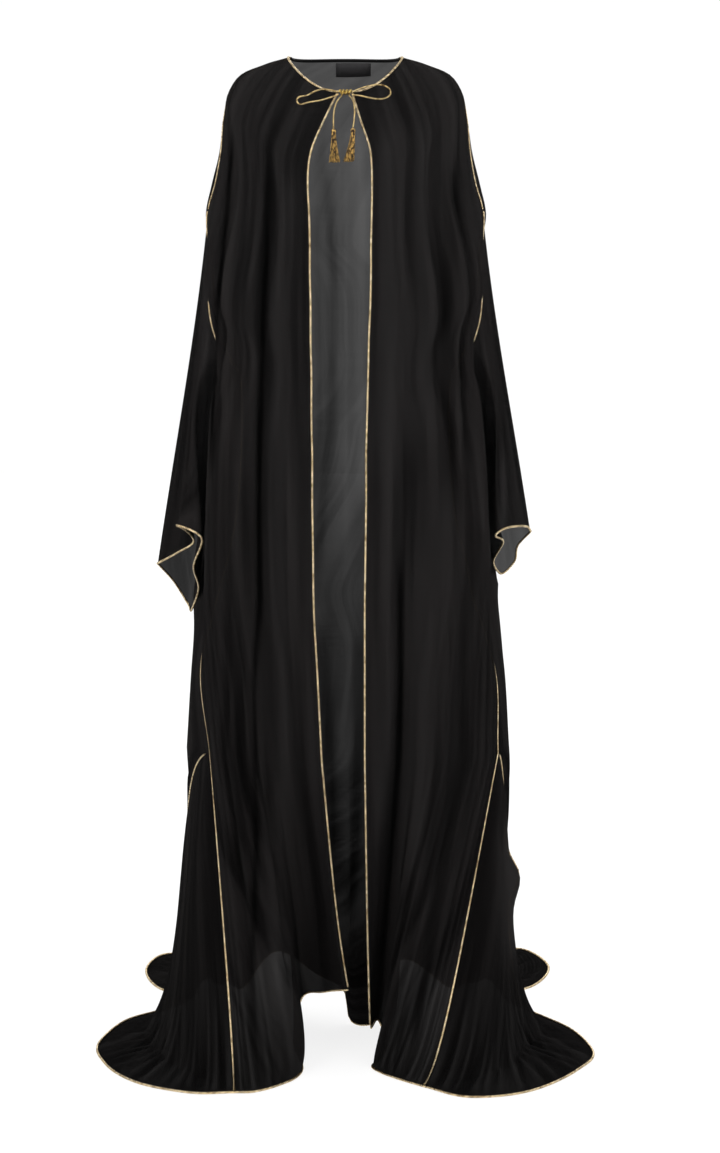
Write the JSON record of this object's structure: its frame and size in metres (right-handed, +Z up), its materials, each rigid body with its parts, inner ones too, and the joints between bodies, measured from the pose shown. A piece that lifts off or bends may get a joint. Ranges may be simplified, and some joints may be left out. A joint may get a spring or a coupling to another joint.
{
  "type": "kaftan",
  "caption": "Long sheer open-front kaftan with wide sleeves, gold cord piping, flared side godets that pool on the floor, and a tasselled tie at the neck.",
  "frame": {"origin": "on the shoulder line, midway between the two side-neck points, where the wearer's shoulders hold the garment", "axes": "+Z up, +X to the wearer's left, -Y the front"},
  "size_m": [0.7539, 0.8942, 1.507],
  "materials": {
    "chiffon": "sheer matte weave",
    "ribbon": "matte binding",
    "label": "woven satin",
    "gold_cord": "twisted metallic cord",
    "gold_thread": "metallic thread"
  },
  "bodies": {
    "root": {"back": "chiffon", "front_left": "chiffon", "front_right": "chiffon", "godet_left": "chiffon", "godet_right": "chiffon", "sleeve_left": "chiffon", "sleeve_right": "chiffon", "neck_binding": "ribbon", "neck_label": "label", "piping_edge_left": "gold_cord", "piping_edge_right": "gold_cord", "piping_shoulder_left": "gold_cord", "piping_shoulder_right": "gold_cord", "piping_armhole_left": "gold_cord", "piping_armhole_right": "gold_cord", "piping_side_left": "gold_cord", "piping_side_right": "gold_cord", "piping_godet_left": "gold_cord", "piping_godet_right": "gold_cord", "piping_sleeve_left": "gold_cord", "piping_sleeve_right": "gold_cord", "piping_hem": "gold_cord", "tie_knot": "gold_cord", "tie_loop_left": "gold_cord", "tie_loop_right": "gold_cord", "tie_tail_left": "gold_cord", "tie_tail_right": "gold_cord", "tassel_left": "gold_thread", "tassel_right": "gold_thread"}
  },
  "joints": []
}
